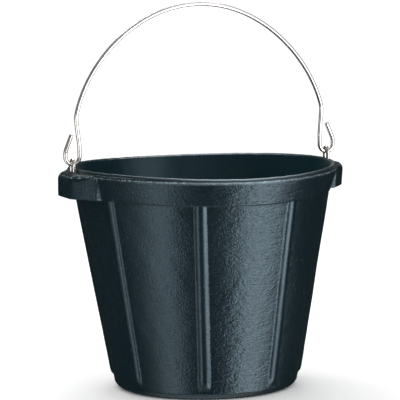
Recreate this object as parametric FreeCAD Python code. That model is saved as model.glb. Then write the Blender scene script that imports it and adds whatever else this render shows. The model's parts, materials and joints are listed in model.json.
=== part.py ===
import FreeCAD, Part

import math
import os

from FreeCAD import Vector

# Eight-quart feed bucket for a stable: a tapered pail moulded in one piece of rubber, with a thick ear on
# each side of its rim, a wire eye moulded into each ear, and a wire bail whose open hooks hang in the eyes.
# Frame: origin at the centre of the base, +Z up, the ears on the X axis. All sizes are in millimetres.

# ---- Driving dimensions: the rubber pail ----
HEIGHT = 220.0  # base to the crest of the rim
BASE_R = 89.0  # outer face of the wall, carried down to the base plane
WALL_TOP_R = 122.5  # outer face of the wall, just under the band
BAND_BOTTOM_R = 125.8  # the band is the thick collar round the rim
BAND_BOTTOM_Z = 192.6
BAND_TOP_R = 133.0
BAND_TOP_Z = 216.5
CREST_R = 129.6  # radius of the rim's highest line
LIP_INNER_R = 126.2  # inner edge of the rim's sloping top
LIP_INNER_Z = 218.4
FLARE_Z = 188.0  # above this the inside opens out towards the lip
WALL = 5.5  # thickness, measured level
FLOOR = 7.0
BASE_ROUND = 9.4
FLOOR_ROUND = 10.0
EDGE_ROUND = 1.6  # lip and the band's bottom edge
BAND_TOP_ROUND = 2.2
FLARE_ROUND = 40.0
RECESS_R = 66.0  # shallow hollow under the base, inside the foot ring
RECESS_DEPTH = 2.0
RECESS_ROUND = 1.0

# ---- Driving dimensions: ribs and ears ----
RIB_COUNT = 8
RIB_WIDTH = 12.0
RIB_HEIGHT = 2.7
RIB_FOOT_Z = 10.3  # lowest point of a rib's rounded foot
RIB_TOP_Z = 197.0  # hidden inside the band
EAR_FACE_X = 144.2
EAR_FACE_HALF = 19.5  # half of the flat outer face
EAR_END_X = 124.8
EAR_END_Y = 43.4  # where the slanted faces run into the band
EAR_TOP_Z = 216.8
EAR_ROOT = 9.0  # how far the ear's short ends reach into the wall
EAR_CORNER_ROUND = 12.0  # its two upright corners
EAR_BOTTOM_ROUND = 2.0
EAR_TOP_ROUND = 7.5

# ---- Driving dimensions: the wire pieces ----
BAIL_WIRE_D = 4.0
EYE_WIRE_D = 3.5
EYE_X = 133.8
PIVOT_Z = 224.6  # height of the line that the bail turns about
EYE_CLEARANCE = 0.4  # round the bail wire, inside an eye
EYE_LEG_Z = 207.0  # the eye's legs are straight down to here
EYE_FOOT_BEND = 5.0
EYE_FOOT = 7.0  # straight part of each foot, past its bend
HOOK_R = 7.2  # bend of the hooks, at the wire's centre
HOOK_TIP = (134.2, 253.3)  # (x, z) of the cut end
HOOK_SIDE_Z = 237.0  # the outer side of the hook leans in above this
HOOK_SIDE_ROUND = 14.0
LEG_FOOT_Z = 242.0  # the leg leans out above this
LEG_FOOT_ROUND = 40.0
ARCH_R = 132.4
ARCH_Z = 242.6  # centre of the bail's arch
ARCH_START = 13.5  # degrees above level where the arch proper begins
SHOULDER_RUN = 4.0  # bent length on the arch's side of the shoulder
END_ROUND = 0.6  # softened rim of each cut end

# ---- Worked out from the driving dimensions ----
TAPER = (WALL_TOP_R - BASE_R) / BAND_BOTTOM_Z
TAPER_ANGLE = math.atan(TAPER)
ORIGIN = Vector(0, 0, 0)
UP = Vector(0, 0, 1)
SIDES = {"left": -1, "right": 1}
SIN_45 = math.sqrt(0.5)
SAME_PLACE = 1e-6  # points closer than this are one point


def wall_r(z):
    """Outer radius of the plain wall at height z."""
    return BASE_R + TAPER * z


def inner_r(z):
    """Inner radius of the plain wall at height z."""
    return wall_r(z) - WALL


def rounded_path(corners, closed=False):
    """Tangent lines and arcs through (x, z, radius) corners in the XZ plane, as a list of edges."""
    count = len(corners)
    points = [Vector(x, 0, z) for x, z, _ in corners]
    spans = []
    for i, (_, _, radius) in enumerate(corners):
        here = points[i]
        is_end = not closed and i in (0, count - 1)
        if radius == 0 or is_end:
            spans.append((here, None, here))
            continue
        back = (points[i - 1] - here).normalize()
        ahead = (points[(i + 1) % count] - here).normalize()
        half = back.getAngle(ahead) / 2
        inward = (back + ahead).normalize()
        setback = radius / math.tan(half)
        nearest = here + inward * (radius / math.sin(half) - radius)
        spans.append((here + back * setback, nearest, here + ahead * setback))
    edges = []
    for i, (start, nearest, end) in enumerate(spans):
        if nearest is not None:
            edges.append(Part.Arc(start, nearest, end).toShape())
        if closed or i < count - 1:
            following = spans[(i + 1) % count][0]
            if end.distanceToPoint(following) > SAME_PLACE:
                edges.append(Part.LineSegment(end, following).toShape())
    return edges


def revolved(corners):
    """Solid of revolution about Z from a closed section."""
    face = Part.Face(Part.Wire(rounded_path(corners, closed=True)))
    return face.revolve(ORIGIN, UP, 360)


def swept_wire(edges, start, direction, diameter):
    """Round wire along a chain of tangent edges that begins at start."""
    circle = Part.Wire(Part.Circle(start, direction, diameter / 2).toShape())
    return Part.Wire(edges).makePipeShell([circle], True, False)


def pail():
    """Base, wall and rim in one section: up the outside, over the rim and down the inside."""
    return revolved(
        [
            (0, RECESS_DEPTH, 0),
            (RECESS_R, RECESS_DEPTH, RECESS_ROUND),
            (RECESS_R + RECESS_DEPTH, 0, RECESS_ROUND),
            (BASE_R, 0, BASE_ROUND),
            (WALL_TOP_R, BAND_BOTTOM_Z, EDGE_ROUND),
            (BAND_BOTTOM_R, BAND_BOTTOM_Z, EDGE_ROUND),
            (BAND_TOP_R, BAND_TOP_Z, BAND_TOP_ROUND),
            (CREST_R, HEIGHT, EDGE_ROUND),
            (LIP_INNER_R, LIP_INNER_Z, EDGE_ROUND),
            (inner_r(FLARE_Z), FLARE_Z, FLARE_ROUND),
            (inner_r(FLOOR), FLOOR, FLOOR_ROUND),
            (0, FLOOR, 0),
        ]
    )


def wall_core():
    """Cutter that trims what is added outside back to the middle of the wall, clear of the inside."""
    above = 2 * HEIGHT
    middle = WALL / 2
    return revolved(
        [
            (0, 0, 0),
            (inner_r(0) + middle, 0, 0),
            (inner_r(FLARE_Z) + middle, FLARE_Z, 0),
            (LIP_INNER_R + middle, LIP_INNER_Z, 0),
            (LIP_INNER_R + middle, above, 0),
            (0, above, 0),
        ]
    )


def rib():
    """Half-round rib on the +X side: a bar with a ball end, mostly sunk in the wall."""
    half = RIB_WIDTH / 2
    bar_r = (half**2 + RIB_HEIGHT**2) / (2 * RIB_HEIGHT)
    sunk = bar_r - RIB_HEIGHT
    foot_z = RIB_FOOT_Z + half
    length = (RIB_TOP_Z - foot_z) / math.cos(TAPER_ANGLE)
    diagonal = bar_r * SIN_45
    tip = Vector(0, 0, -bar_r)
    shoulder = Vector(bar_r, 0, 0)
    top = Vector(bar_r, 0, length)
    top_centre = Vector(0, 0, length)
    profile = [
        Part.Arc(tip, Vector(diagonal, 0, -diagonal), shoulder).toShape(),
        Part.LineSegment(shoulder, top).toShape(),
        Part.LineSegment(top, top_centre).toShape(),
        Part.LineSegment(top_centre, tip).toShape(),
    ]
    bar = Part.Face(Part.Wire(profile)).revolve(ORIGIN, UP, 360)
    bar.rotate(ORIGIN, Vector(0, 1, 0), math.degrees(TAPER_ANGLE))
    inward = Vector(-math.cos(TAPER_ANGLE), 0, math.sin(TAPER_ANGLE)) * sunk
    bar.translate(Vector(wall_r(foot_z), 0, foot_z) + inward)
    return bar


def ear(side):
    """Block that carries an eye: one flat and two slanted upright faces, with its ends let into the band."""
    end_angle = math.atan2(EAR_END_Y, EAR_END_X)
    root_x = EAR_END_X - EAR_ROOT * math.cos(end_angle)
    root_y = EAR_END_Y - EAR_ROOT * math.sin(end_angle)
    half_plan = [(root_x, root_y), (EAR_END_X, EAR_END_Y), (EAR_FACE_X, EAR_FACE_HALF)]
    plan = half_plan + [(x, -y) for x, y in reversed(half_plan)]
    corners = [Vector(side * x, y, BAND_BOTTOM_Z) for x, y in plan]
    block = Part.Face(Part.makePolygon(corners + corners[:1])).extrude(UP * (EAR_TOP_Z - BAND_BOTTOM_Z))

    def outer_edges(height):
        """The block's edges outside the band whose middle is at this height."""
        outside = [edge for edge in block.Edges if abs(edge.CenterOfMass.x) > EAR_END_X + SAME_PLACE]
        return [edge for edge in outside if abs(edge.CenterOfMass.z - height) < SAME_PLACE]

    block = block.makeFillet(EAR_CORNER_ROUND, outer_edges((BAND_BOTTOM_Z + EAR_TOP_Z) / 2))
    block = block.makeFillet(EAR_BOTTOM_ROUND, outer_edges(BAND_BOTTOM_Z))
    return block.makeFillet(EAR_TOP_ROUND, outer_edges(EAR_TOP_Z))


def eye(side):
    """Wire loop standing across the bail, with feet bent outwards where the ear grips it."""
    loop_r = BAIL_WIRE_D / 2 + EYE_CLEARANCE + EYE_WIRE_D / 2
    foot_z = EYE_LEG_Z - EYE_FOOT_BEND
    heel_y = loop_r + EYE_FOOT_BEND
    toe_y = heel_y + EYE_FOOT
    bend_in = EYE_FOOT_BEND * (1 - SIN_45)

    def at(y, z):
        return Vector(side * EYE_X, y, z)

    def leg(way):
        toe = at(way * toe_y, foot_z)
        heel = at(way * heel_y, foot_z)
        ankle = at(way * loop_r, EYE_LEG_Z)
        top = at(way * loop_r, PIVOT_Z)
        bend = Part.Arc(heel, at(way * (loop_r + bend_in), foot_z + bend_in), ankle).toShape()
        return [Part.LineSegment(toe, heel).toShape(), bend, Part.LineSegment(ankle, top).toShape()]

    crown = Part.Arc(at(-loop_r, PIVOT_Z), at(0, PIVOT_Z + loop_r), at(loop_r, PIVOT_Z)).toShape()
    chain = leg(-1) + [crown] + leg(1)[::-1]
    return swept_wire(chain, at(-toe_y, foot_z), Vector(0, 1, 0), EYE_WIRE_D)


def bucket_shell(eyes):
    """The rubber moulding, with the room that the eyes take up inside its ears."""
    core = wall_core()
    additions = [ear(side).cut(core) for side in SIDES.values()]
    for i in range(RIB_COUNT):
        one = rib().cut(core)
        one.rotate(ORIGIN, UP, (i + 0.5) * 360 / RIB_COUNT)
        additions.append(one)
    return pail().fuse(additions).cut(Part.makeCompound(eyes)).removeSplitter()


def bail_side(side):
    """Hook, leg and shoulder of one side, as a chain of edges from the cut end to the start of the arch."""
    start = math.radians(ARCH_START)
    arch_x = ARCH_R * math.cos(start)
    arch_z = ARCH_Z + ARCH_R * math.sin(start)
    shoulder_x = arch_x + SHOULDER_RUN * math.sin(start)
    shoulder_z = arch_z - SHOULDER_RUN * math.cos(start)
    inner_x = EYE_X - HOOK_R
    outer_x = EYE_X + HOOK_R
    lean = math.atan2(shoulder_x - inner_x, shoulder_z - LEG_FOOT_Z)
    shoulder_round = SHOULDER_RUN / math.tan((start + lean) / 2)
    corners = [
        (*HOOK_TIP, 0),
        (outer_x, HOOK_SIDE_Z, HOOK_SIDE_ROUND),
        (outer_x, PIVOT_Z, HOOK_R),
        (inner_x, PIVOT_Z, HOOK_R),
        (inner_x, LEG_FOOT_Z, LEG_FOOT_ROUND),
        (shoulder_x, shoulder_z, shoulder_round),
        (arch_x, arch_z, 0),
    ]
    return rounded_path([(side * x, z, radius) for x, z, radius in corners])


def bail():
    """One length of wire: two hooked sides joined by a round arch, with its cut ends softened."""
    start = math.radians(ARCH_START)
    start_x = ARCH_R * math.cos(start)
    start_z = ARCH_Z + ARCH_R * math.sin(start)
    ends = [Vector(side * start_x, 0, start_z) for side in (-1, 1)]
    arch = Part.Arc(ends[0], Vector(0, 0, ARCH_Z + ARCH_R), ends[1]).toShape()
    tip = Vector(-HOOK_TIP[0], 0, HOOK_TIP[1])
    corner = Vector(-(EYE_X + HOOK_R), 0, HOOK_SIDE_Z)
    chain = bail_side(-1) + [arch] + bail_side(1)[::-1]
    wire = swept_wire(chain, tip, corner - tip, BAIL_WIRE_D)
    cut_ends = [face for face in wire.Faces if isinstance(face.Surface, Part.Plane)]
    return wire.makeFillet(END_ROUND, [edge for face in cut_ends for edge in face.Edges])


def main():
    os.makedirs("parts", exist_ok=True)
    eyes = {f"{name}_eye": eye(side) for name, side in SIDES.items()}
    nodes = {"bucket_shell": bucket_shell(list(eyes.values())), **eyes, "bail_handle": bail()}
    for name, shape in nodes.items():
        print(name, "valid:", shape.isValid(), "solids:", len(shape.Solids), "mm3:", round(shape.Volume))
        shape.exportStep(f"parts/{name}.step")


main()
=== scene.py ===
import json
import math

import bpy
import numpy as np
from mathutils import Matrix, Vector


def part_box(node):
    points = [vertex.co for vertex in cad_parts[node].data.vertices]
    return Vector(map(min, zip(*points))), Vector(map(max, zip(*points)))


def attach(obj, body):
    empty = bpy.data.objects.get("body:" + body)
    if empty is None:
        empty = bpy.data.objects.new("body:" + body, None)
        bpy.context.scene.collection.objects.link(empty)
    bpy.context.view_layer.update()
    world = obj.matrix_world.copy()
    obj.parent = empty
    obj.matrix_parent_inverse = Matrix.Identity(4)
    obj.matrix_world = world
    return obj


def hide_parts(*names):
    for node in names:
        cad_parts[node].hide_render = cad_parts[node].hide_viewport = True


# Looks for the feed bucket: a scuffed black rubber moulding, two wire eyes and a bright wire bail, on a pale
# floor between two tall soft lights. Shapes are worked out in millimetres in the CAD frame, and written in
# metres.

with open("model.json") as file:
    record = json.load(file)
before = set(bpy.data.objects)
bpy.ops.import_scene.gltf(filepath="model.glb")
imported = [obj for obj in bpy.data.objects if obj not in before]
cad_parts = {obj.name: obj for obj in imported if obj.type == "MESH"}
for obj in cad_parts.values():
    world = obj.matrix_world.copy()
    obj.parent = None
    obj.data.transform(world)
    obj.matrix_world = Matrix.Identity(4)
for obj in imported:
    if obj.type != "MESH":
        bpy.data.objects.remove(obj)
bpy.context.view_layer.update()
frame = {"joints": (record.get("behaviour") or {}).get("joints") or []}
MM = 0.001

# ---- The CAD part's own places ----
PIVOT_Z = frame["joints"][0]["pos_m"][2] / MM
EYE_LOW, EYE_HIGH = (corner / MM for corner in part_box("right_eye"))
EYE_X = (EYE_LOW.x + EYE_HIGH.x) / 2
EYE_TOP_Z = EYE_HIGH.z
EYE_WIRE_R = (EYE_HIGH.x - EYE_LOW.x) / 2
EAR_FACE_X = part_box("bucket_shell")[1].x / MM
BAIL_WIRE_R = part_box("bail_handle")[1].y / MM - 0.01

# ---- The rubber moulding ----
HEIGHT = 220.0
BASE_R = 89.0
WALL_TOP_R = 122.5
BAND_BOTTOM_R = 125.8
BAND_BOTTOM_Z = 192.6
BAND_TOP_R = 132.7
BAND_TOP_Z = 216.5
BAND_TOP_ROUND = 2.2
CREST_R = 129.6
LIP_INNER_R = 126.2
LIP_INNER_Z = 218.4
FLARE_Z = 188.0
FLARE_ROUND = 40.0
WALL = 5.5  # thickness
FLOOR = 7.0  # thickness of the bucket's own floor
RECESS_R = 66.0
RECESS_DEPTH = 2.0
TAPER = (WALL_TOP_R - BASE_R) / BAND_BOTTOM_Z
DIP_R = 131.1  # shallow valley between the crest and the band's top edge
DIP_Z = 218.4
SHOULDER_R = 132.0
SHOULDER_Z = 217.9
EDGE_DROP = 2.0  # how much lower the band's top edge runs at the ears than between them
SAG = 4.1  # how much lower the soft rim hangs between the ears than at them
SAG_FROM_Z = 146.0
FAR_SAG = 3.6  # the same on the far side, with a rounder dip
CREST_HIGHLIGHT_AROUND = math.radians(-97)  # middle of the stretch where the crest's painted highlight is brightest
RIM_TILT = 0.0035  # the rim's fall per millimetre towards the right-hand ear
LEAN = 0.6  # sideways lean of the soft wall at its foot and, the other way, under the band

# Numbers of the section's corners, counted from the middle of the underside
BASE_CORNER = 3
BAND_BOTTOM_EDGE = 5
BAND_TOP_EDGE = 6
SHOULDER = 7
CREST = 9
LIP_INNER = 10
FLARE = 11

RIB_COUNT = 8
FLOW_MARKS = (0.7, 0.5, 0.8, 0.4, 0.6, 0.15, 1.0, 0.35)  # how strongly each panel between ribs shows them
RIB_WIDTH = 12.0
RIB_HEIGHT = 2.7
RIB_FOOT_Z = 10.3
RIB_BAR_R = (RIB_WIDTH**2 / 4 + RIB_HEIGHT**2) / (2 * RIB_HEIGHT)

EAR_FACE_HALF = 19.5
EAR_END_X = 124.8
EAR_END_Y = 43.4
EAR_TOP_Z = 216.2
EAR_TOP_ROUND = 7.5
EAR_DRAFT = 0.9  # how much nearer the axis an ear's lower edge is than its upper edge
EAR_CORNER_SOFT = 2.4
EAR_CORNER = math.atan2(EAR_FACE_HALF, EAR_FACE_X)
EAR_END = math.atan2(EAR_END_Y, EAR_END_X)
EAR_SLANT = math.atan2(EAR_FACE_X - EAR_END_X, EAR_END_Y - EAR_FACE_HALF)
EYE_LEG_Y = EYE_TOP_Z - PIVOT_Z - EYE_WIRE_R
MOUND_HEIGHT = 1.5  # rubber risen round each leg of an eye
MOUND_R = 3.6

# ---- The bail's line ----
HOOK_R = 7.2
HOOK_TIP = (134.2, 253.3)
HOOK_SIDE_Z = 237.0
HOOK_SIDE_ROUND = 14.0
LEG_FOOT_Z = 242.0
LEG_FOOT_ROUND = 40.0
ARCH_R = 132.4
ARCH_Z = 242.6
ARCH_START = math.radians(13.5)
SHOULDER_RUN = 4.0  # from the arch's end to the corner of the bend into the leg
ARCH_FLATTER = 2.25  # how far the bent arch lies inside a true circle at its two shoulders
ARCH_LOPSIDED = 0.95  # added to that at the right shoulder, and taken off at the left

# ---- Camera, in metres ----
CAMERA_RADIUS = 2.438  # level distance from the bucket's axis
CAMERA_HEIGHT = 0.4546
CAMERA_AROUND = math.radians(-21.76)
CAMERA_HEADING = math.radians(-21.70)
CAMERA_DOWN = math.radians(6.36)
CAMERA_ROLL = math.radians(-0.85)
CAMERA_LENS = 224.9

# ---- Colours ----
RUBBER_DARK = (0.0020, 0.0074, 0.0102)
RUBBER_LIGHT = (0.0036, 0.0108, 0.0145)
# lighter, more teal rubber for the inside: painted light that lifts the shaded inside of the bucket
RUBBER_INSIDE = (0.0034, 0.0205, 0.0265)
DUST_COLOUR = (0.040, 0.065, 0.078)
# light worn rubber for the edges' speckles, also used as a painted highlight along the band's bottom edge
WORN_AND_HIGHLIGHT_RUBBER = (0.16, 0.21, 0.24)
# pale colour of the painted highlight along the crest and the band's top edge
PAINTED_HIGHLIGHT_RUBBER = (0.34, 0.43, 0.47)
RUBBER_SHEEN = (0.64, 0.86, 1.0)  # tint of the rubber's reflections
STEEL_DULL = (0.76, 0.72, 0.70)
STEEL_BRIGHT = (0.90, 0.87, 0.85)
GROUND_COLOUR = (0.96, 0.96, 0.96)
SKY_COLOUR = (0.97, 0.98, 1)  # of the studio that reflections see

# ---- Ground and surroundings ----
GROUND_R = 18000.0
GROUND_Z = -0.3  # just under the bucket's foot
AROUND_WHITE = 1.12  # glow of the white that everything but reflections sees

# ---- Studio: what reflections see ----
# Each _UP pair is sines of height angles, and each _ROUND pair is cosines of the angle from a side. The glow
# changes between the two.
SKY_HIGH = 0.8
SKY_UP = (0.4, 0.85)
LIT_SIDE = math.radians(75)  # to the right of the camera's side, where the studio's upper part is brightest
SKY_ROUND = (-0.05, 0.6)
SKY_UNLIT = 0.1  # share of the sky's glow on the other side
SKY_LOW = 0.01
FRONT_FILL = 0.05
FRONT_ROUND = (-0.3, 0.9)
FRONT_HIGH = 0.12  # the room behind the camera, above table height
FRONT_HIGH_ROUND = (0.2, 0.9)
FRONT_HIGH_UP = (0.0, 0.2)
FLOOR_GLOW = 0.8  # what the underside of an edge or wire sees of the pale floor
FLOOR_UP = (-0.95, -0.72)
BACKDROP = 0.14  # the sheet behind, seen only by surfaces that the camera looks along
BACKDROP_FOOT = (0.0, 0.07)
BACKDROP_HEAD = (0.25, 0.45)
BACKDROP_ROUND = (0.72, 0.94)

# ---- Lights ----
# A light wall's glow follows (turn, share) stops, in degrees to the right of the camera's side, and
# (height, share) stops, in metres.
WALL_DISTANCE = 1300.0  # from the bucket's axis to the light walls
RIGHT_WALL_POWER = 7.7
RIGHT_WALL_ROUND = (
    (24, 0.0), (32, 0.2), (38, 0.45), (45, 0.92), (50, 1.0), (60, 0.97), (70, 0.7), (80, 0.3),
    (88, 0.05), (96, 0.0),
)
RIGHT_WALL_UP = (
    (-1.6, 0.3), (-1.1, 1.0), (-0.92, 1.35), (-0.8, 0.6), (-0.7, 0.1), (-0.6, 0.08), (-0.5, 0.40),
    (-0.42, 1.0), (-0.36, 1.35), (-0.28, 0.93), (-0.2, 0.98), (0.15, 0.8), (0.3, 0.3), (0.5, 0.2),
    (1.5, 0.1),
)
LEFT_WALL_POWER = 3.3
LEFT_WALL_ROUND = (
    (-85, 0.0), (-71, 0.08), (-60, 0.2), (-48, 0.54), (-41, 0.9), (-35, 1.0), (-31, 0.85),
    (-26, 0.0),
)
LEFT_WALL_UP = (
    (-1.6, 0.2), (-1.1, 0.5), (-0.84, 0.75), (-0.68, 0.85), (-0.43, 1.05), (-0.2, 0.9), (0.15, 0.9),
    (0.3, 0.4), (0.5, 0.12), (0.8, 0.03), (1.5, 0.0),
)
SOFTBOX_TURN = 14.0
SOFTBOX_ELEVATION = 125.0  # past overhead, so it stands a little behind the bucket
SOFTBOX_DISTANCE = 1.5  # in metres, like its size and target
SOFTBOX_SIZE = (1.3, 0.4)
SOFTBOX_POWER = 9.0
SOFTBOX_TARGET = Vector((0, 0, 0.15))


# ================ Shape tools ================


def smoothstep(t):
    t = np.clip(t, 0, 1)
    return t * t * (3 - 2 * t)


def soft_min(a, b, softness):
    return (a + b - np.sqrt((a - b) ** 2 + softness**2)) / 2


def soft_max(a, b, softness):
    return (a + b + np.sqrt((a - b) ** 2 + softness**2)) / 2


def waves(around, along, seed, count, cycles, wavelengths):
    """Gentle random unevenness of about unit size, in whole cycles round the bucket so that it closes up."""
    dice = np.random.default_rng(seed)
    total = np.zeros(np.broadcast(around, along).shape)
    for _ in range(count):
        turns = dice.integers(cycles[0], cycles[1] + 1)
        pitch = 2 * math.pi / dice.uniform(*wavelengths) * dice.choice((-1, 1))
        total += np.cos(turns * around + pitch * along + dice.uniform(0, 2 * math.pi))
    return total * math.sqrt(2 / count)


def corner_arc(before, corner, after, radius, steps):
    """Points of the arc that rounds a corner: arrays whose last axis is (across, up)."""
    back = before - corner
    ahead = after - corner
    back = back / np.linalg.norm(back, axis=-1, keepdims=True)
    ahead = ahead / np.linalg.norm(ahead, axis=-1, keepdims=True)
    half = np.arccos(np.clip((back * ahead).sum(-1, keepdims=True), -1, 1)) / 2
    setback = radius / np.tan(half)
    start = corner + back * setback
    end = corner + ahead * setback
    pull = np.sin(half)
    points = []
    for t in np.linspace(0, 1, steps + 1):
        a, b, c = (1 - t) ** 2, 2 * t * (1 - t) * pull, t**2
        points.append((start * a + corner * b + end * c) / (a + b + c))
    return points


def rounded_line(corners):
    """Points along straight runs and rounded corners.

    Each corner is (point, radius, steps of its arc, steps of the straight run after it).
    """
    spans = []
    for i, (point, radius, steps, _) in enumerate(corners):
        if steps == 0:
            spans.append([point])
        else:
            spans.append(corner_arc(corners[i - 1][0], point, corners[i + 1][0], radius, steps))
    line = []
    for i, span in enumerate(spans):
        line += span
        if i + 1 < len(spans):
            run = corners[i][3]
            start, end = span[-1], spans[i + 1][0]
            line += [start + (end - start) * k / run for k in range(1, run)]
    return np.array(line)


def new_mesh(name, points, faces):
    mesh = bpy.data.meshes.new(name)
    mesh.from_pydata((np.asarray(points) * MM).tolist(), [], faces)
    mesh.polygons.foreach_set("use_smooth", [True] * len(mesh.polygons))
    mesh.update()
    piece = bpy.data.objects.new(name, mesh)
    bpy.context.scene.collection.objects.link(piece)
    return piece


def add_point_values(piece, name, values):
    """Stores one number, or one vector, per vertex for the materials to read."""
    values = np.asarray(values, np.float32)
    kind = "FLOAT" if values.ndim == 1 else "FLOAT_VECTOR"
    attribute = piece.data.attributes.new(name, kind, "POINT")
    attribute.data.foreach_set("value" if values.ndim == 1 else "vector", values.ravel())


# ================ The rubber moulding ================


def column_angles():
    """Angles of the mesh's columns: even all round, and closer at the ribs, the ears' edges and the eyes."""
    degrees = list(np.arange(0, 360, 0.8))
    for i in range(RIB_COUNT):
        degrees += list((i + 0.5) * 360 / RIB_COUNT + np.arange(-4.6, 4.7, 0.36))
    corner, end = math.degrees(EAR_CORNER), math.degrees(EAR_END)
    for axis in (0, 180):
        degrees += list(axis + np.arange(-5, 5.1, 0.4))
        for way in (-1, 1):
            degrees += list(axis + way * (corner + np.arange(-2.4, 2.5, 0.3)))
            degrees += list(axis + way * (end + np.arange(-0.8, 0.9, 0.1)))
    degrees = np.unique(np.round(np.mod(degrees, 360), 2))
    return np.radians(degrees[np.concatenate([[True], np.diff(degrees) > 0.05])])


def moulding_section(angles):
    """Section of the moulding at each angle, from the middle of the underside round to the floor inside."""
    fold = np.abs(np.mod(angles + math.pi / 2, math.pi) - math.pi / 2)
    face = EAR_FACE_X / np.cos(fold)
    slant_reach = EAR_END_X * math.cos(EAR_SLANT) + EAR_END_Y * math.sin(EAR_SLANT)
    slant = slant_reach / np.cos(fold - EAR_SLANT)
    reach = soft_min(face, slant, EAR_CORNER_SOFT)
    ear = 1 - smoothstep((fold - EAR_END) / math.radians(0.7) + 0.5)
    beyond = np.maximum(reach - BAND_TOP_R, 0) * ear
    drop = EDGE_DROP * np.cos(fold) ** 2
    top_z = BAND_TOP_Z - drop + (EAR_TOP_Z - BAND_TOP_Z + drop) * smoothstep(beyond / 5)
    top_round = BAND_TOP_ROUND + (EAR_TOP_ROUND - BAND_TOP_ROUND) * smoothstep(beyond / 8)

    def ring(radius, height):
        return np.stack([np.broadcast_to(radius, fold.shape), np.broadcast_to(height, fold.shape)], -1)

    def inner_r(z):
        return BASE_R + TAPER * z - WALL

    corners = [
        (ring(0.01, RECESS_DEPTH), 0, 0, 6),
        (ring(RECESS_R, RECESS_DEPTH), 1.0, 3, 2),
        (ring(RECESS_R + RECESS_DEPTH, 0), 1.0, 3, 5),
        (ring(BASE_R, 0), 9.4, 12, 62),
        (ring(WALL_TOP_R, BAND_BOTTOM_Z), 1.2, 4, 5),
        (ring(BAND_BOTTOM_R + (reach - EAR_DRAFT - BAND_BOTTOM_R) * ear, BAND_BOTTOM_Z), 1.5, 6, 12),
        (ring(BAND_TOP_R + beyond, top_z), top_round[:, None], 9, 12),
        (ring(SHOULDER_R, SHOULDER_Z - 0.85 * drop), 0.4, 3, 3),
        (ring(DIP_R, DIP_Z - 0.7 * drop), 0.3, 3, 3),
        (ring(CREST_R, HEIGHT), 1.2, 8, 4),
        (ring(LIP_INNER_R, LIP_INNER_Z), 1.2, 4, 8),
        (ring(inner_r(FLARE_Z), FLARE_Z), FLARE_ROUND, 6, 50),
        (ring(inner_r(FLOOR), FLOOR), 10.0, 10, 14),
        (ring(0.01, FLOOR), 0, 0, 0),
    ]
    return corners, rounded_line(corners), fold


def rib_surface(angles, radius, height):
    """Radius that the ribs reach at each place, less than the wall's own where there is no rib."""
    pitch = 2 * math.pi / RIB_COUNT
    aside = radius * np.sin(np.mod(angles, pitch) - pitch / 2)
    below = np.maximum(RIB_FOOT_Z + RIB_WIDTH / 2 - height, 0)
    away = np.hypot(aside, below)
    bar = np.sqrt(np.maximum(RIB_BAR_R**2 - away**2, 0)) - np.maximum(away - RIB_BAR_R, 0)
    proud = bar - (RIB_BAR_R - RIB_HEIGHT)
    return BASE_R + TAPER * height + soft_max(proud, 0 * proud, 0.25)


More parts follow.
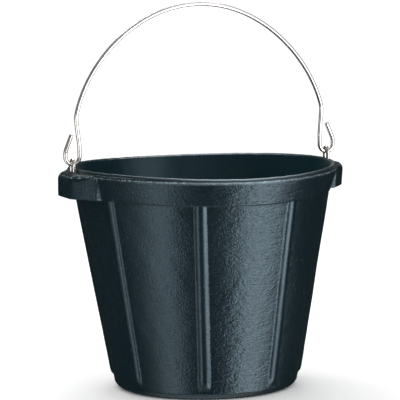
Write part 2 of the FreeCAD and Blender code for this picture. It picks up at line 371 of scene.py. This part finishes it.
def make_moulding():
    angles = column_angles()
    corners, section, fold = moulding_section(angles)
    radius, height = section[..., 0].copy(), section[..., 1].copy()
    rows, columns = radius.shape

    def row_at(index):
        """Number of the first row of a corner of the section."""
        return sum(steps + 1 + max(run - 1, 0) for _, _, steps, run in corners[:index])

    def near_ridge(corner, spread):
        """One along the middle of a rounded corner, fading over spread millimetres to either side."""
        ridge = section[row_at(corner) + corners[corner][2] // 2]
        return np.exp(-((np.linalg.norm(section - ridge, axis=-1) / spread) ** 2))

    outside = slice(row_at(BASE_CORNER), row_at(BAND_BOTTOM_EDGE))
    top = slice(row_at(BAND_TOP_EDGE), row_at(FLARE))
    inside_from = row_at(LIP_INNER)

    ribbed = rib_surface(angles, radius[outside], height[outside])
    calm = np.zeros(radius.shape)
    calm[outside] = np.clip((ribbed - radius[outside]) / 1.0, 0, 1)
    calm[row_at(SHOULDER) :] = 1
    radius[outside] = np.where(height[outside] > 5, np.maximum(radius[outside], ribbed), radius[outside])

    turn = np.broadcast_to(angles, radius.shape)
    x, y = radius * np.cos(turn), radius * np.sin(turn)
    for leg in (-1, 1):
        away = np.hypot(np.abs(x) - EYE_X, y - leg * EYE_LEG_Y)
        height[top] += (MOUND_HEIGHT * np.exp(-((away / MOUND_R) ** 2)))[top]

    uneven = 0.06 * waves(turn, height, seed=3, count=14, cycles=(3, 12), wavelengths=(60, 160))
    uneven += 0.035 * waves(turn, height, seed=5, count=18, cycles=(12, 40), wavelengths=(18, 60))
    free = smoothstep((height - 6) / 30)
    radius += uneven * free * (radius > 40)
    wobble = 0.07 * waves(turn, radius, seed=11, count=16, cycles=(10, 60), wavelengths=(60, 200))
    height += wobble * smoothstep((height - 200) / 18)

    near_rim = smoothstep((height - SAG_FROM_Z) / (HEIGHT - SAG_FROM_Z))
    aside = np.sin(turn)
    height -= np.where(aside < 0, SAG * np.abs(aside) ** 3, FAR_SAG * aside**2) * near_rim

    rightward = radius * np.cos(turn - CAMERA_AROUND)
    height -= RIM_TILT * rightward * near_rim * (height > FLOOR + 20)
    lean = LEAN * np.cos(math.pi * height / BAND_BOTTOM_Z) * (1 - smoothstep((height - BAND_BOTTOM_Z) / 20))
    x = radius * np.cos(turn) + lean * math.cos(CAMERA_AROUND)
    y = radius * np.sin(turn) + lean * math.sin(CAMERA_AROUND)

    panel = np.arange(RIB_COUNT + 1) * 2 * math.pi / RIB_COUNT
    flow = np.interp(turn, panel, FLOW_MARKS + FLOW_MARKS[:1])

    # Worn speckles along the band's top edge, the crest and the ears' corners; the band's bottom edge share
    # is a painted highlight, the light line that its round catches.
    wear_and_highlight = np.zeros(radius.shape)
    worn_and_highlit_edges = ((BAND_BOTTOM_EDGE, 0.55, 1.2), (BAND_TOP_EDGE, 1.0, 1.5), (CREST, 0.3, 1.2))
    for corner, share, spread in worn_and_highlit_edges:
        wear_and_highlight += share * near_ridge(corner, spread)
    # Painted highlight: a pale line along the crest, fainter along the band's top edge, strongest on one
    # stretch of the front and faint all round.
    highlight_along = 0.09 + 1.0 * np.clip(np.cos(angles - CREST_HIGHLIGHT_AROUND), 0, 1) ** 8
    painted_highlight = highlight_along * (1.15 * near_ridge(CREST, 1.2) + 0.4 * near_ridge(BAND_TOP_EDGE, 1.0))
    on_face = np.zeros(rows)
    on_face[row_at(BAND_BOTTOM_EDGE) : row_at(SHOULDER)] = 1
    for edge, share in ((EAR_CORNER, 0.5), (EAR_END, 0.35)):
        beside = (fold - edge) * EAR_FACE_X
        wear_and_highlight += share * on_face[:, None] * np.exp(-((beside / 1.8) ** 2))
    inside = np.zeros(radius.shape)
    inside[inside_from:] = 1

    points = np.stack([x, y, height], -1).reshape(-1, 3)
    faces = []
    for i in range(rows - 1):
        for j in range(columns):
            k = (j + 1) % columns
            faces.append((i * columns + j, i * columns + k, (i + 1) * columns + k, (i + 1) * columns + j))
    faces.append(tuple(range(columns))[::-1])
    faces.append(tuple((rows - 1) * columns + j for j in range(columns)))
    piece = new_mesh("rubber_bucket", points, faces)
    add_point_values(piece, "wear_and_highlight", np.clip(wear_and_highlight, 0, 1).ravel())
    add_point_values(piece, "painted_highlight", np.clip(painted_highlight, 0, 1).ravel())
    add_point_values(piece, "inside", inside.ravel())
    add_point_values(piece, "flow", flow.ravel())
    add_point_values(piece, "calm", np.clip(calm, 0, 1).ravel())
    return piece


# ================ The wire pieces ================


def make_wire(name, line, plane_normal, wire_r, around=24):
    """Round wire along a flat line of points, with softened rims at its two cut ends."""
    line = np.asarray(line, float)
    ahead = np.gradient(line, axis=0)
    ahead /= np.linalg.norm(ahead, axis=1, keepdims=True)
    side = np.cross(plane_normal, ahead)
    rim = 0.5
    rings = [(line[0], wire_r - rim)]
    rings += [(line[0] + ahead[0] * rim * 0.35, wire_r - rim * 0.3), (line[0] + ahead[0] * rim, wire_r)]
    rings += [(point, wire_r) for point in line[1:-1]]
    rings += [(line[-1] - ahead[-1] * rim, wire_r), (line[-1] - ahead[-1] * rim * 0.35, wire_r - rim * 0.3)]
    rings += [(line[-1], wire_r - rim)]
    sides = [side[0]] * 3 + list(side[1:-1]) + [side[-1]] * 3
    turns = np.linspace(0, 2 * math.pi, around, endpoint=False)
    points, drawn = [], []
    travelled = 0.0
    for i, ((centre, r), across) in enumerate(zip(rings, sides)):
        if i:
            travelled += np.linalg.norm(centre - rings[i - 1][0])
        for turn in turns:
            points.append(centre + r * (math.cos(turn) * across + math.sin(turn) * np.asarray(plane_normal)))
            drawn.append((math.cos(turn), math.sin(turn), travelled * 0.01))
    faces = []
    for i in range(len(rings) - 1):
        for j in range(around):
            k = (j + 1) % around
            faces.append((i * around + j, i * around + k, (i + 1) * around + k, (i + 1) * around + j))
    faces.append(tuple(range(around))[::-1])
    faces.append(tuple((len(rings) - 1) * around + j for j in range(around)))
    piece = new_mesh(name, points, faces)
    add_point_values(piece, "drawn", drawn)
    return piece


def bail_side_line():
    """Right side of the bail in (x, z): from the hook's cut end to where the arch begins."""
    arch = np.array([ARCH_R * math.cos(ARCH_START), ARCH_Z + ARCH_R * math.sin(ARCH_START)])
    shoulder = arch + SHOULDER_RUN * np.array([math.sin(ARCH_START), -math.cos(ARCH_START)])
    inner_x, outer_x = EYE_X - HOOK_R, EYE_X + HOOK_R
    lean = math.atan2(shoulder[0] - inner_x, shoulder[1] - LEG_FOOT_Z)
    corners = [
        (np.array(HOOK_TIP), 0, 0, 6),
        (np.array([outer_x, HOOK_SIDE_Z]), HOOK_SIDE_ROUND, 6, 2),
        (np.array([outer_x, PIVOT_Z]), HOOK_R, 10, 1),
        (np.array([inner_x, PIVOT_Z]), HOOK_R, 10, 3),
        (np.array([inner_x, LEG_FOOT_Z]), LEG_FOOT_ROUND, 5, 8),
        (shoulder, SHOULDER_RUN / math.tan((ARCH_START + lean) / 2), 6, 1),
        (arch, 0, 0, 0),
    ]
    line = rounded_line(corners)
    keep = np.concatenate([[True], np.linalg.norm(np.diff(line, axis=0), axis=1) > 1e-3])
    return line[keep]


def make_bail():
    side = bail_side_line()
    sweep = np.linspace(ARCH_START, math.pi - ARCH_START, 150)[1:-1]
    arch = np.stack([ARCH_R * np.cos(sweep), ARCH_Z + ARCH_R * np.sin(sweep)], -1)
    line = np.concatenate([side, arch, (side * (-1, 1))[::-1]])
    x, z = line[:, 0], line[:, 1]
    around = np.arctan2(z - ARCH_Z, x)
    shoulder = np.where(z > ARCH_Z, np.sin(2 * around), 0)
    inward = ARCH_FLATTER * shoulder**2 + ARCH_LOPSIDED * shoulder
    x = x - inward * np.cos(around)
    z = z - inward * np.sin(around)
    line = np.stack([x, 0 * x, z], -1)
    return make_wire("bail_wire", line, (0, 1, 0), BAIL_WIRE_R)


def make_eye(name, side):
    """Loop across the bail, straight legs, and feet bent outwards inside the ear."""
    loop_r = EYE_LEG_Y
    foot_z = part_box("right_eye")[0].z / MM + EYE_WIRE_R
    toe_y = EYE_HIGH.y
    corners = [
        (np.array([toe_y, foot_z]), 0, 0, 4),
        (np.array([loop_r, foot_z]), 5.0, 6, 6),
        (np.array([loop_r, PIVOT_Z]), 0, 0, 0),
    ]
    leg = rounded_line(corners)
    sweep = np.linspace(0, math.pi, 22)[1:-1]
    crown = np.stack([loop_r * np.cos(sweep), PIVOT_Z + loop_r * np.sin(sweep)], -1)
    flat = np.concatenate([leg, crown, (leg * (-1, 1))[::-1]])
    line = np.stack([np.full(len(flat), side * EYE_X), flat[:, 0], flat[:, 1]], -1)
    return make_wire(name, line, (1, 0, 0), EYE_WIRE_R)


# ================ Materials ================


class Nodes:
    """Short hand for building one material's nodes."""

    def __init__(self, name):
        self.material = bpy.data.materials.new(name)
        self.material.use_nodes = True
        self.tree = self.material.node_tree
        self.shader = self.tree.nodes["Principled BSDF"]

    def add(self, kind, **settings):
        node = self.tree.nodes.new(kind)
        for key, value in settings.items():
            setattr(node, key, value)
        return node

    def join(self, source, target):
        self.tree.links.new(source, target)

    def position(self, scale):
        """Object position, stretched by scale, per metre."""
        coordinates = self.add("ShaderNodeTexCoord")
        mapping = self.add("ShaderNodeMapping")
        mapping.inputs["Scale"].default_value = scale
        self.join(coordinates.outputs["Object"], mapping.inputs["Vector"])
        return mapping.outputs["Vector"]

    def attribute(self, name, output="Fac"):
        return self.add("ShaderNodeAttribute", attribute_name=name).outputs[output]

    def noise(self, vector, scale=1.0, detail=2.0, roughness=0.5, distortion=0.0):
        node = self.add("ShaderNodeTexNoise")
        node.inputs["Scale"].default_value = scale
        node.inputs["Detail"].default_value = detail
        node.inputs["Roughness"].default_value = roughness
        node.inputs["Distortion"].default_value = distortion
        self.join(vector, node.inputs["Vector"])
        return node.outputs["Fac"]

    def spread(self, value, low, high, to_low=0.0, to_high=1.0):
        """Maps low..high of value to to_low..to_high, with soft ends."""
        node = self.add("ShaderNodeMapRange", interpolation_type="SMOOTHSTEP")
        node.inputs["From Min"].default_value = low
        node.inputs["From Max"].default_value = high
        node.inputs["To Min"].default_value = to_low
        node.inputs["To Max"].default_value = to_high
        self.join(value, node.inputs["Value"])
        return node.outputs["Result"]

    def math(self, operation, a, b):
        node = self.add("ShaderNodeMath", operation=operation)
        for socket, value in zip(node.inputs, (a, b)):
            if isinstance(value, (int, float)):
                socket.default_value = value
            else:
                self.join(value, socket)
        return node.outputs[0]

    def mix(self, share, a, b):
        """Colour a where share is 0, b where it is 1."""
        node = self.add("ShaderNodeMix", data_type="RGBA")
        self.join(share, node.inputs["Factor"])
        for socket, value in ((node.inputs["A"], a), (node.inputs["B"], b)):
            if isinstance(value, tuple):
                socket.default_value = (*value, 1)
            else:
                self.join(value, socket)
        return node.outputs["Result"]

    def bump(self, height, strength, distance, below=None):
        node = self.add("ShaderNodeBump")
        node.inputs["Strength"].default_value = strength
        node.inputs["Distance"].default_value = distance
        self.join(height, node.inputs["Height"])
        if below is not None:
            self.join(below, node.inputs["Normal"])
        return node.outputs["Normal"]


def rubber_material():
    n = Nodes("scuffed_rubber")
    cloud = n.noise(n.position((14, 14, 10)), detail=2.0)
    free = n.math("SUBTRACT", 1.0, n.math("MULTIPLY", n.attribute("calm"), 0.88))
    ripple = n.noise(n.position((105, 105, 270)), detail=1.0, roughness=0.45, distortion=1.3)
    ripple = n.math("MULTIPLY", ripple, n.math("MULTIPLY", free, n.attribute("flow")))
    lumps = n.noise(n.position((40, 40, 50)), detail=2.0, distortion=0.6)
    lumps = n.math("MULTIPLY", lumps, free)
    grain = n.noise(n.position((640, 640, 480)), detail=2.0)
    grain = n.math("MULTIPLY", grain, n.math("ADD", 0.35, n.math("MULTIPLY", free, 0.65)))
    normal = n.bump(lumps, 0.30, 0.0006)
    normal = n.bump(ripple, 1.0, 0.00072, normal)
    normal = n.bump(grain, 1.0, 0.0003, normal)

    speckle = n.noise(n.position((480, 480, 560)), detail=2.0, roughness=0.7)
    edge = n.attribute("wear_and_highlight")
    worn_and_highlight = n.spread(n.math("ADD", n.math("MULTIPLY", edge, 0.45), speckle), 0.90, 1.05)
    scratch = n.noise(n.position((420, 420, 420)), detail=1.0)
    dust = n.spread(scratch, 0.70, 0.75, 0.0, 0.6)
    dust = n.math("MULTIPLY", dust, n.math("SUBTRACT", 1.0, n.attribute("inside")))

    colour = n.mix(cloud, RUBBER_DARK, RUBBER_LIGHT)
    # painted light: the inside gets the lighter rubber colour, lifting its shade
    colour = n.mix(n.math("MULTIPLY", n.attribute("inside"), 0.8), colour, RUBBER_INSIDE)
    colour = n.mix(dust, colour, DUST_COLOUR)
    # worn speckles on the edges, with a painted highlight along the band's bottom edge
    colour = n.mix(worn_and_highlight, colour, WORN_AND_HIGHLIGHT_RUBBER)
    # painted highlight along the crest and the band's top edge
    colour = n.mix(n.attribute("painted_highlight"), colour, PAINTED_HIGHLIGHT_RUBBER)
    n.join(colour, n.shader.inputs["Base Color"])
    rough = n.spread(cloud, 0.3, 0.7, 0.24, 0.31)
    rough = n.math("ADD", rough, n.math("MULTIPLY", worn_and_highlight, 0.2))
    n.join(rough, n.shader.inputs["Roughness"])
    n.shader.inputs["Specular IOR Level"].default_value = 0.50
    n.shader.inputs["Specular Tint"].default_value = (*RUBBER_SHEEN, 1)
    n.join(normal, n.shader.inputs["Normal"])
    return n.material


def steel_material():
    n = Nodes("drawn_steel_wire")
    stretch = n.add("ShaderNodeMapping")
    stretch.inputs["Scale"].default_value = (5, 5, 3)
    n.join(n.attribute("drawn", "Vector"), stretch.inputs["Vector"])
    lines = n.noise(stretch.outputs["Vector"], detail=3.0, roughness=0.6)
    mottle = n.noise(n.position((420, 420, 420)), detail=2.0)
    colour = n.mix(mottle, STEEL_DULL, STEEL_BRIGHT)
    n.join(colour, n.shader.inputs["Base Color"])
    n.shader.inputs["Metallic"].default_value = 0.92
    n.join(n.spread(mottle, 0.3, 0.7, 0.12, 0.22), n.shader.inputs["Roughness"])
    n.join(n.bump(lines, 0.25, 0.0002), n.shader.inputs["Normal"])
    return n.material


# ================ Stage, light and camera ================


def make_floor():
    material = bpy.data.materials.new("pale_floor")
    material.use_nodes = True
    shader = material.node_tree.nodes["Principled BSDF"]
    shader.inputs["Base Color"].default_value = (*GROUND_COLOUR, 1)
    shader.inputs["Roughness"].default_value = 0.9
    shader.inputs["Specular IOR Level"].default_value = 0.1
    turns = np.linspace(0, 2 * math.pi, 96, endpoint=False)
    rim = [(GROUND_R * math.cos(t), GROUND_R * math.sin(t), GROUND_Z) for t in turns]
    floor = new_mesh("floor", rim, [tuple(range(len(rim)))])
    floor.data.materials.append(material)
    floor.visible_glossy = False
    floor.visible_shadow = False


def make_light_wall(name, glow_round, glow_up, power):
    """Tall curved diffuser standing round the bucket, seen only by reflections."""
    turns = np.linspace(glow_round[0][0], glow_round[-1][0], 30)
    heights = np.linspace(glow_up[0][0], glow_up[-1][0], 24)
    across = np.interp(turns, *zip(*glow_round))
    upward = np.interp(heights, *zip(*glow_up))
    bearings = CAMERA_AROUND - math.pi / 2 + np.radians(turns)
    foot = [(WALL_DISTANCE * math.cos(b), WALL_DISTANCE * math.sin(b)) for b in bearings]
    points = [(x, y, h / MM) for h in heights for x, y in foot]
    wide = len(turns)
    faces = [
        (i * wide + j, i * wide + j + 1, (i + 1) * wide + j + 1, (i + 1) * wide + j)
        for i in range(len(heights) - 1)
        for j in range(wide - 1)
    ]
    wall = new_mesh(name, points, faces)
    add_point_values(wall, "glow", np.outer(upward, across).ravel())
    material = bpy.data.materials.new(name)
    material.use_nodes = True
    tree = material.node_tree
    tree.nodes.clear()
    glow = tree.nodes.new("ShaderNodeAttribute")
    glow.attribute_name = "glow"
    strength = tree.nodes.new("ShaderNodeMath")
    strength.operation = "MULTIPLY"
    strength.inputs[1].default_value = power
    emission = tree.nodes.new("ShaderNodeEmission")
    output = tree.nodes.new("ShaderNodeOutputMaterial")
    tree.links.new(glow.outputs["Fac"], strength.inputs[0])
    tree.links.new(strength.outputs[0], emission.inputs["Strength"])
    tree.links.new(emission.outputs[0], output.inputs["Surface"])
    wall.data.materials.append(material)
    wall.visible_camera = False
    wall.visible_diffuse = False
    wall.visible_shadow = False


def make_softbox():
    """Area light above the bucket and a little behind it, aimed at the bucket."""
    light = bpy.data.lights.new("overhead_softbox", "AREA")
    light.shape = "RECTANGLE"
    light.size, light.size_y = SOFTBOX_SIZE
    light.energy = SOFTBOX_POWER
    lamp = bpy.data.objects.new("overhead_softbox", light)
    bearing = CAMERA_AROUND - math.pi / 2 + math.radians(SOFTBOX_TURN)
    level = SOFTBOX_DISTANCE * math.cos(math.radians(SOFTBOX_ELEVATION))
    rise = SOFTBOX_DISTANCE * math.sin(math.radians(SOFTBOX_ELEVATION))
    offset = Vector((level * math.cos(bearing), level * math.sin(bearing), rise))
    lamp.location = SOFTBOX_TARGET + offset
    lamp.rotation_euler = (-offset).to_track_quat("-Z", "Y").to_euler()
    lamp.visible_camera = False
    bpy.context.scene.collection.objects.link(lamp)


def make_world():
    """White surroundings for sight and soft fill. Reflections see a dim studio, brighter above and below."""
    world = bpy.data.worlds.new("studio")
    world.use_nodes = True
    tree = world.node_tree
    tree.nodes.clear()

    def add(kind, **settings):
        node = tree.nodes.new(kind)
        for key, value in settings.items():
            setattr(node, key, value)
        return node

    def ramp(source, from_to, at_from, at_to):
        """Goes softly from at_from to at_to while source goes over from_to."""
        node = add("ShaderNodeMapRange", interpolation_type="SMOOTHSTEP")
        node.inputs["From Min"].default_value, node.inputs["From Max"].default_value = from_to
        node.inputs["To Min"].default_value = at_from
        node.inputs["To Max"].default_value = at_to
        tree.links.new(source, node.inputs["Value"])
        return node.outputs["Result"]

    def join(operation, a, b):
        node = add("ShaderNodeMath", operation=operation)
        tree.links.new(a, node.inputs[0])
        tree.links.new(b, node.inputs[1])
        return node.outputs[0]

    def facing(bearing):
        """How squarely each direction points along a level bearing."""
        node = add("ShaderNodeVectorMath", operation="DOT_PRODUCT")
        node.inputs[1].default_value = (math.cos(bearing), math.sin(bearing), 0)
        tree.links.new(direction, node.inputs[0])
        return node.outputs["Value"]

    direction = add("ShaderNodeTexCoord").outputs["Generated"]
    split = add("ShaderNodeSeparateXYZ")
    tree.links.new(direction, split.inputs[0])
    up = split.outputs["Z"]
    lit = facing(CAMERA_AROUND - math.pi / 2 + LIT_SIDE)
    front = facing(CAMERA_HEADING - math.pi / 2)
    behind = facing(CAMERA_HEADING + math.pi / 2)

    sky = join("MULTIPLY", ramp(up, SKY_UP, 0.0, SKY_HIGH), ramp(lit, SKY_ROUND, SKY_UNLIT, 1.0))
    floor = ramp(up, FLOOR_UP, FLOOR_GLOW, 0.0)
    sheet = join("MULTIPLY", ramp(up, BACKDROP_FOOT, 0.0, BACKDROP), ramp(up, BACKDROP_HEAD, 1.0, 0.0))
    sheet = join("MULTIPLY", sheet, ramp(behind, BACKDROP_ROUND, 0.0, 1.0))
    room = ramp(front, FRONT_ROUND, SKY_LOW, FRONT_FILL)
    high = join("MULTIPLY", ramp(front, FRONT_HIGH_ROUND, 0.0, FRONT_HIGH), ramp(up, FRONT_HIGH_UP, 0.0, 1.0))
    total = sky
    for glow in (floor, sheet, room, high):
        total = join("ADD", total, glow)

    output = add("ShaderNodeOutputWorld")
    mix = add("ShaderNodeMixShader")
    bright = add("ShaderNodeBackground")
    dim = add("ShaderNodeBackground")
    bright.inputs["Strength"].default_value = AROUND_WHITE
    bright.inputs["Color"].default_value = (1, 1, 1, 1)
    dim.inputs["Color"].default_value = (*SKY_COLOUR, 1)
    tree.links.new(total, dim.inputs["Strength"])
    tree.links.new(add("ShaderNodeLightPath").outputs["Is Glossy Ray"], mix.inputs["Fac"])
    tree.links.new(bright.outputs[0], mix.inputs[1])
    tree.links.new(dim.outputs[0], mix.inputs[2])
    tree.links.new(mix.outputs[0], output.inputs["Surface"])
    bpy.context.scene.world = world


def make_camera():
    data = bpy.data.cameras.new("camera")
    data.lens = CAMERA_LENS
    data.sensor_width = 36
    data.clip_end = 100
    camera = bpy.data.objects.new("camera", data)
    place = Matrix.Translation(
        (
            CAMERA_RADIUS * math.sin(CAMERA_AROUND),
            -CAMERA_RADIUS * math.cos(CAMERA_AROUND),
            CAMERA_HEIGHT,
        )
    )
    turn = Matrix.Rotation(CAMERA_HEADING, 4, "Z")
    tilt = Matrix.Rotation(math.pi / 2 - CAMERA_DOWN, 4, "X")
    roll = Matrix.Rotation(CAMERA_ROLL, 4, "Z")
    camera.matrix_world = place @ turn @ tilt @ roll
    bpy.context.scene.collection.objects.link(camera)
    bpy.context.scene.camera = camera


# ================ Put together ================

rubber = rubber_material()
steel = steel_material()
for piece, body, node, material, slot in (
    (make_moulding(), "bucket", "bucket_shell", rubber, "black_rubber"),
    (make_eye("left_wire_eye", -1), "bucket", "left_eye", steel, "galvanised_wire"),
    (make_eye("right_wire_eye", 1), "bucket", "right_eye", steel, "galvanised_wire"),
    (make_bail(), "bail", "bail_handle", steel, "galvanised_wire"),
):
    piece.data.materials.append(material)
    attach(piece, body)
    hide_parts(node)

make_floor()
make_world()
make_light_wall("right_light_wall", RIGHT_WALL_ROUND, RIGHT_WALL_UP, RIGHT_WALL_POWER)
make_light_wall("left_light_wall", LEFT_WALL_ROUND, LEFT_WALL_UP, LEFT_WALL_POWER)
make_softbox()
make_camera()
bpy.context.scene.view_settings.view_transform = "Standard"
